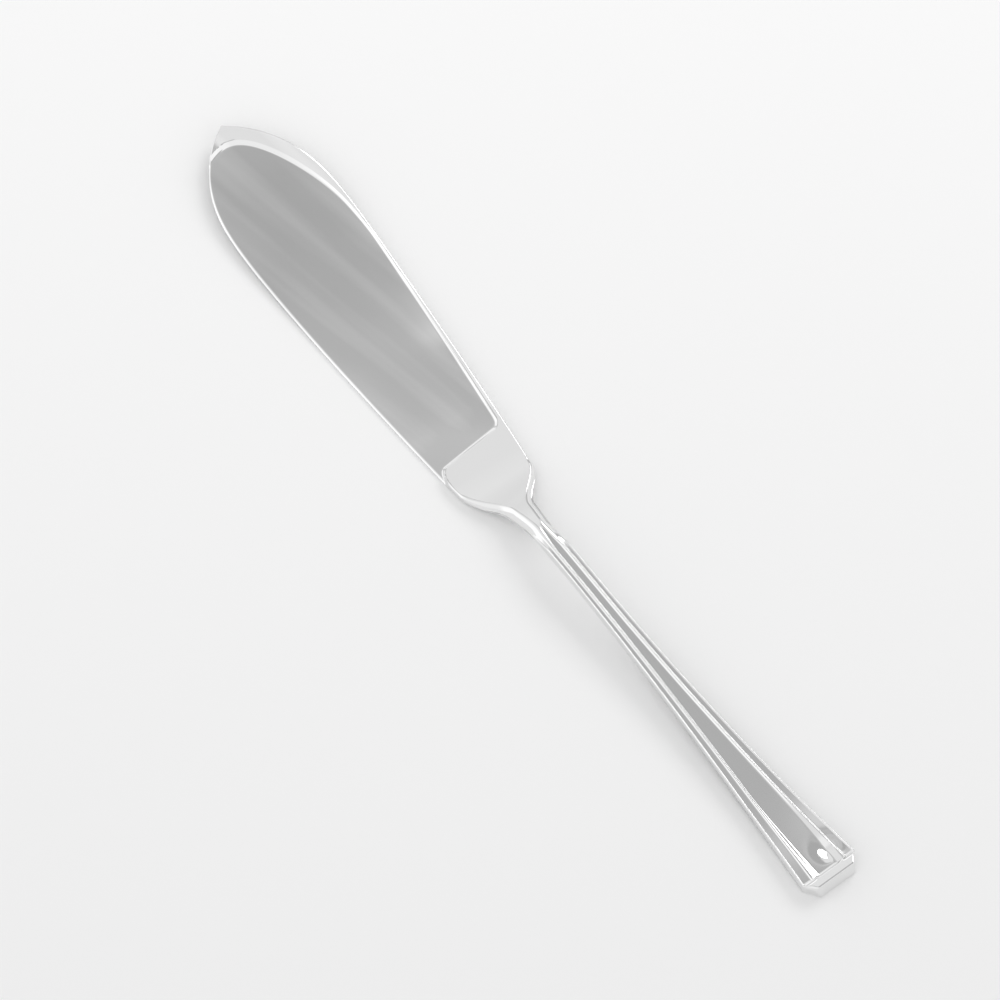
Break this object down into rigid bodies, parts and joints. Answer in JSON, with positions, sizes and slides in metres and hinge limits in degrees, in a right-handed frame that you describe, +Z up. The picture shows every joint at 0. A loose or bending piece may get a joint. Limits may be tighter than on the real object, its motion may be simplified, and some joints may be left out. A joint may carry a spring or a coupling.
{
  "type": "fish knife",
  "caption": "Polished fish knife forged in one piece, with a leaf-shaped blade, a pressed panel, a cranked neck and a flared handle with stepped mouldings.",
  "frame": {"origin": "centre of the knife's outline, on the surface that it rests on", "axes": "+X along the handle towards the tip of the blade, +Y towards the cutting edge, +Z up from the side with the mouldings"},
  "size_m": [0.205, 0.0256, 0.0068],
  "materials": {
    "polished_steel": "mirror polished"
  },
  "bodies": {
    "root": {"blade": "polished_steel", "neck": "polished_steel", "handle": "polished_steel"}
  },
  "joints": []
}
